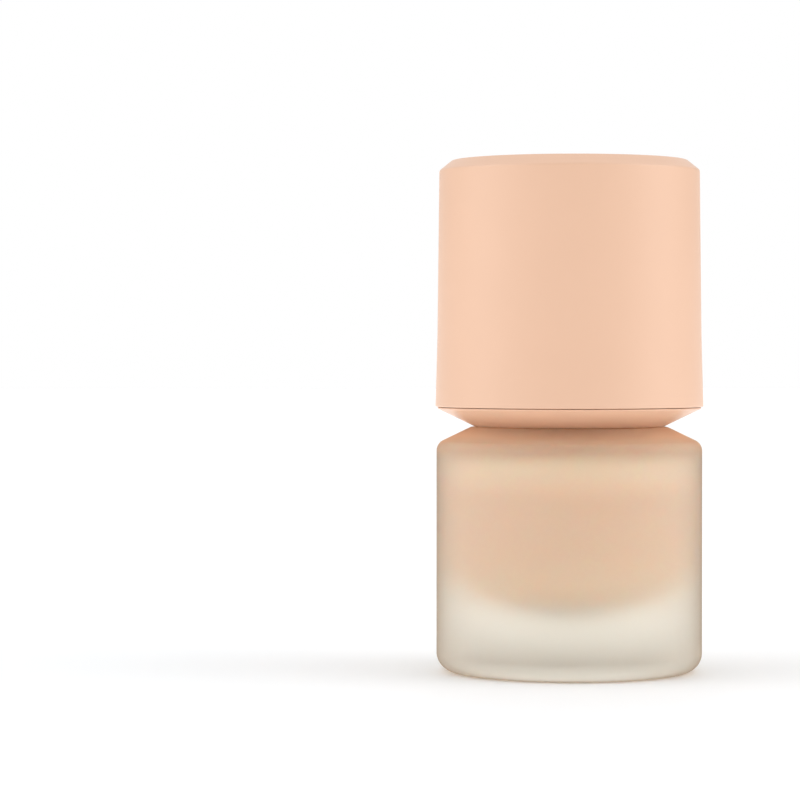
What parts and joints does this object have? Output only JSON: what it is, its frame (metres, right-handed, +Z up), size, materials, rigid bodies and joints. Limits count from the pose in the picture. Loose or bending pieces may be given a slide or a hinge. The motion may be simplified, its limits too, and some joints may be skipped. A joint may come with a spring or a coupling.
{
  "type": "foundation bottle",
  "caption": "Short round frosted-glass bottle with a thick base, filled with liquid foundation, with a screw-on treatment pump under a tall bevelled overcap.",
  "frame": {"origin": "centre of the ring that the bottle stands on", "axes": "+Z up along the bottle's axis; the pump's spout points along +X at rest; -Y is the front"},
  "size_m": [0.0464, 0.0464, 0.0885],
  "materials": {
    "frosted_glass": "acid-frosted outside, clear body",
    "foundation": "opaque liquid, satin",
    "cap_plastic": "satin moulded",
    "white_plastic": "moulded polypropylene",
    "clear_plastic": "natural polypropylene, milky",
    "gasket_foam": "soft sealing washer",
    "spring_steel": "drawn stainless wire",
    "ball_steel": "polished stainless",
    "label_film": "matt film, plain"
  },
  "bodies": {
    "bottle": {"glass_bottle": "frosted_glass", "foundation_fill": "foundation", "base_label": "label_film"},
    "pump_engine": {"pump_housing": "clear_plastic", "neck_gasket": "gasket_foam", "dip_tube": "clear_plastic", "stem_retainer": "white_plastic", "return_spring": "spring_steel"},
    "collar": {"screw_closure": "white_plastic", "collar_shell": "cap_plastic"},
    "overcap": {"overcap_shell": "cap_plastic", "overcap_base_ring": "cap_plastic", "overcap_liner": "white_plastic"},
    "stem": {"stem": "white_plastic", "poppet": "white_plastic"},
    "piston": {"piston": "clear_plastic"},
    "inlet_ball": {"inlet_ball": "ball_steel"},
    "actuator": {"actuator_shell": "cap_plastic", "actuator_core": "white_plastic", "nozzle_insert": "white_plastic"}
  },
  "joints": [
    {"name": "pump_rise", "type": "slide", "parent": "bottle", "child": "pump_engine", "axis": [0, 0, 1], "range_m": [0, 0.0065]},
    {"name": "collar_unscrew", "type": "hinge", "parent": "pump_engine", "child": "collar", "pos_m": [0, 0, 0.056], "axis": [0, 0, 1], "range_deg": [0, 720]},
    {"name": "overcap_lift", "type": "slide", "parent": "collar", "child": "overcap", "axis": [0, 0, 1], "range_m": [0, 0.04]},
    {"name": "pump_stroke", "type": "slide", "parent": "pump_engine", "child": "stem", "axis": [0, 0, -1], "range_m": [0, 0.0046], "stiffness_N_per_m": 600, "springref_m": -0.005, "deforming": ["return_spring"]},
    {"name": "piston_float", "type": "slide", "parent": "stem", "child": "piston", "axis": [0, 0, 1], "range_m": [0, 0.0006]},
    {"name": "actuator_turn", "type": "hinge", "parent": "stem", "child": "actuator", "pos_m": [0, 0, 0.069], "axis": [0, 0, 1], "continuous": true},
    {"name": "ball_lift", "type": "slide", "parent": "pump_engine", "child": "inlet_ball", "axis": [0, 0, 1], "range_m": [0, 0.0007]}
  ],
  "couplings": [
    {"joint": "pump_rise", "follows": "collar_unscrew", "m_per_rad": 0.00050532}
  ]
}
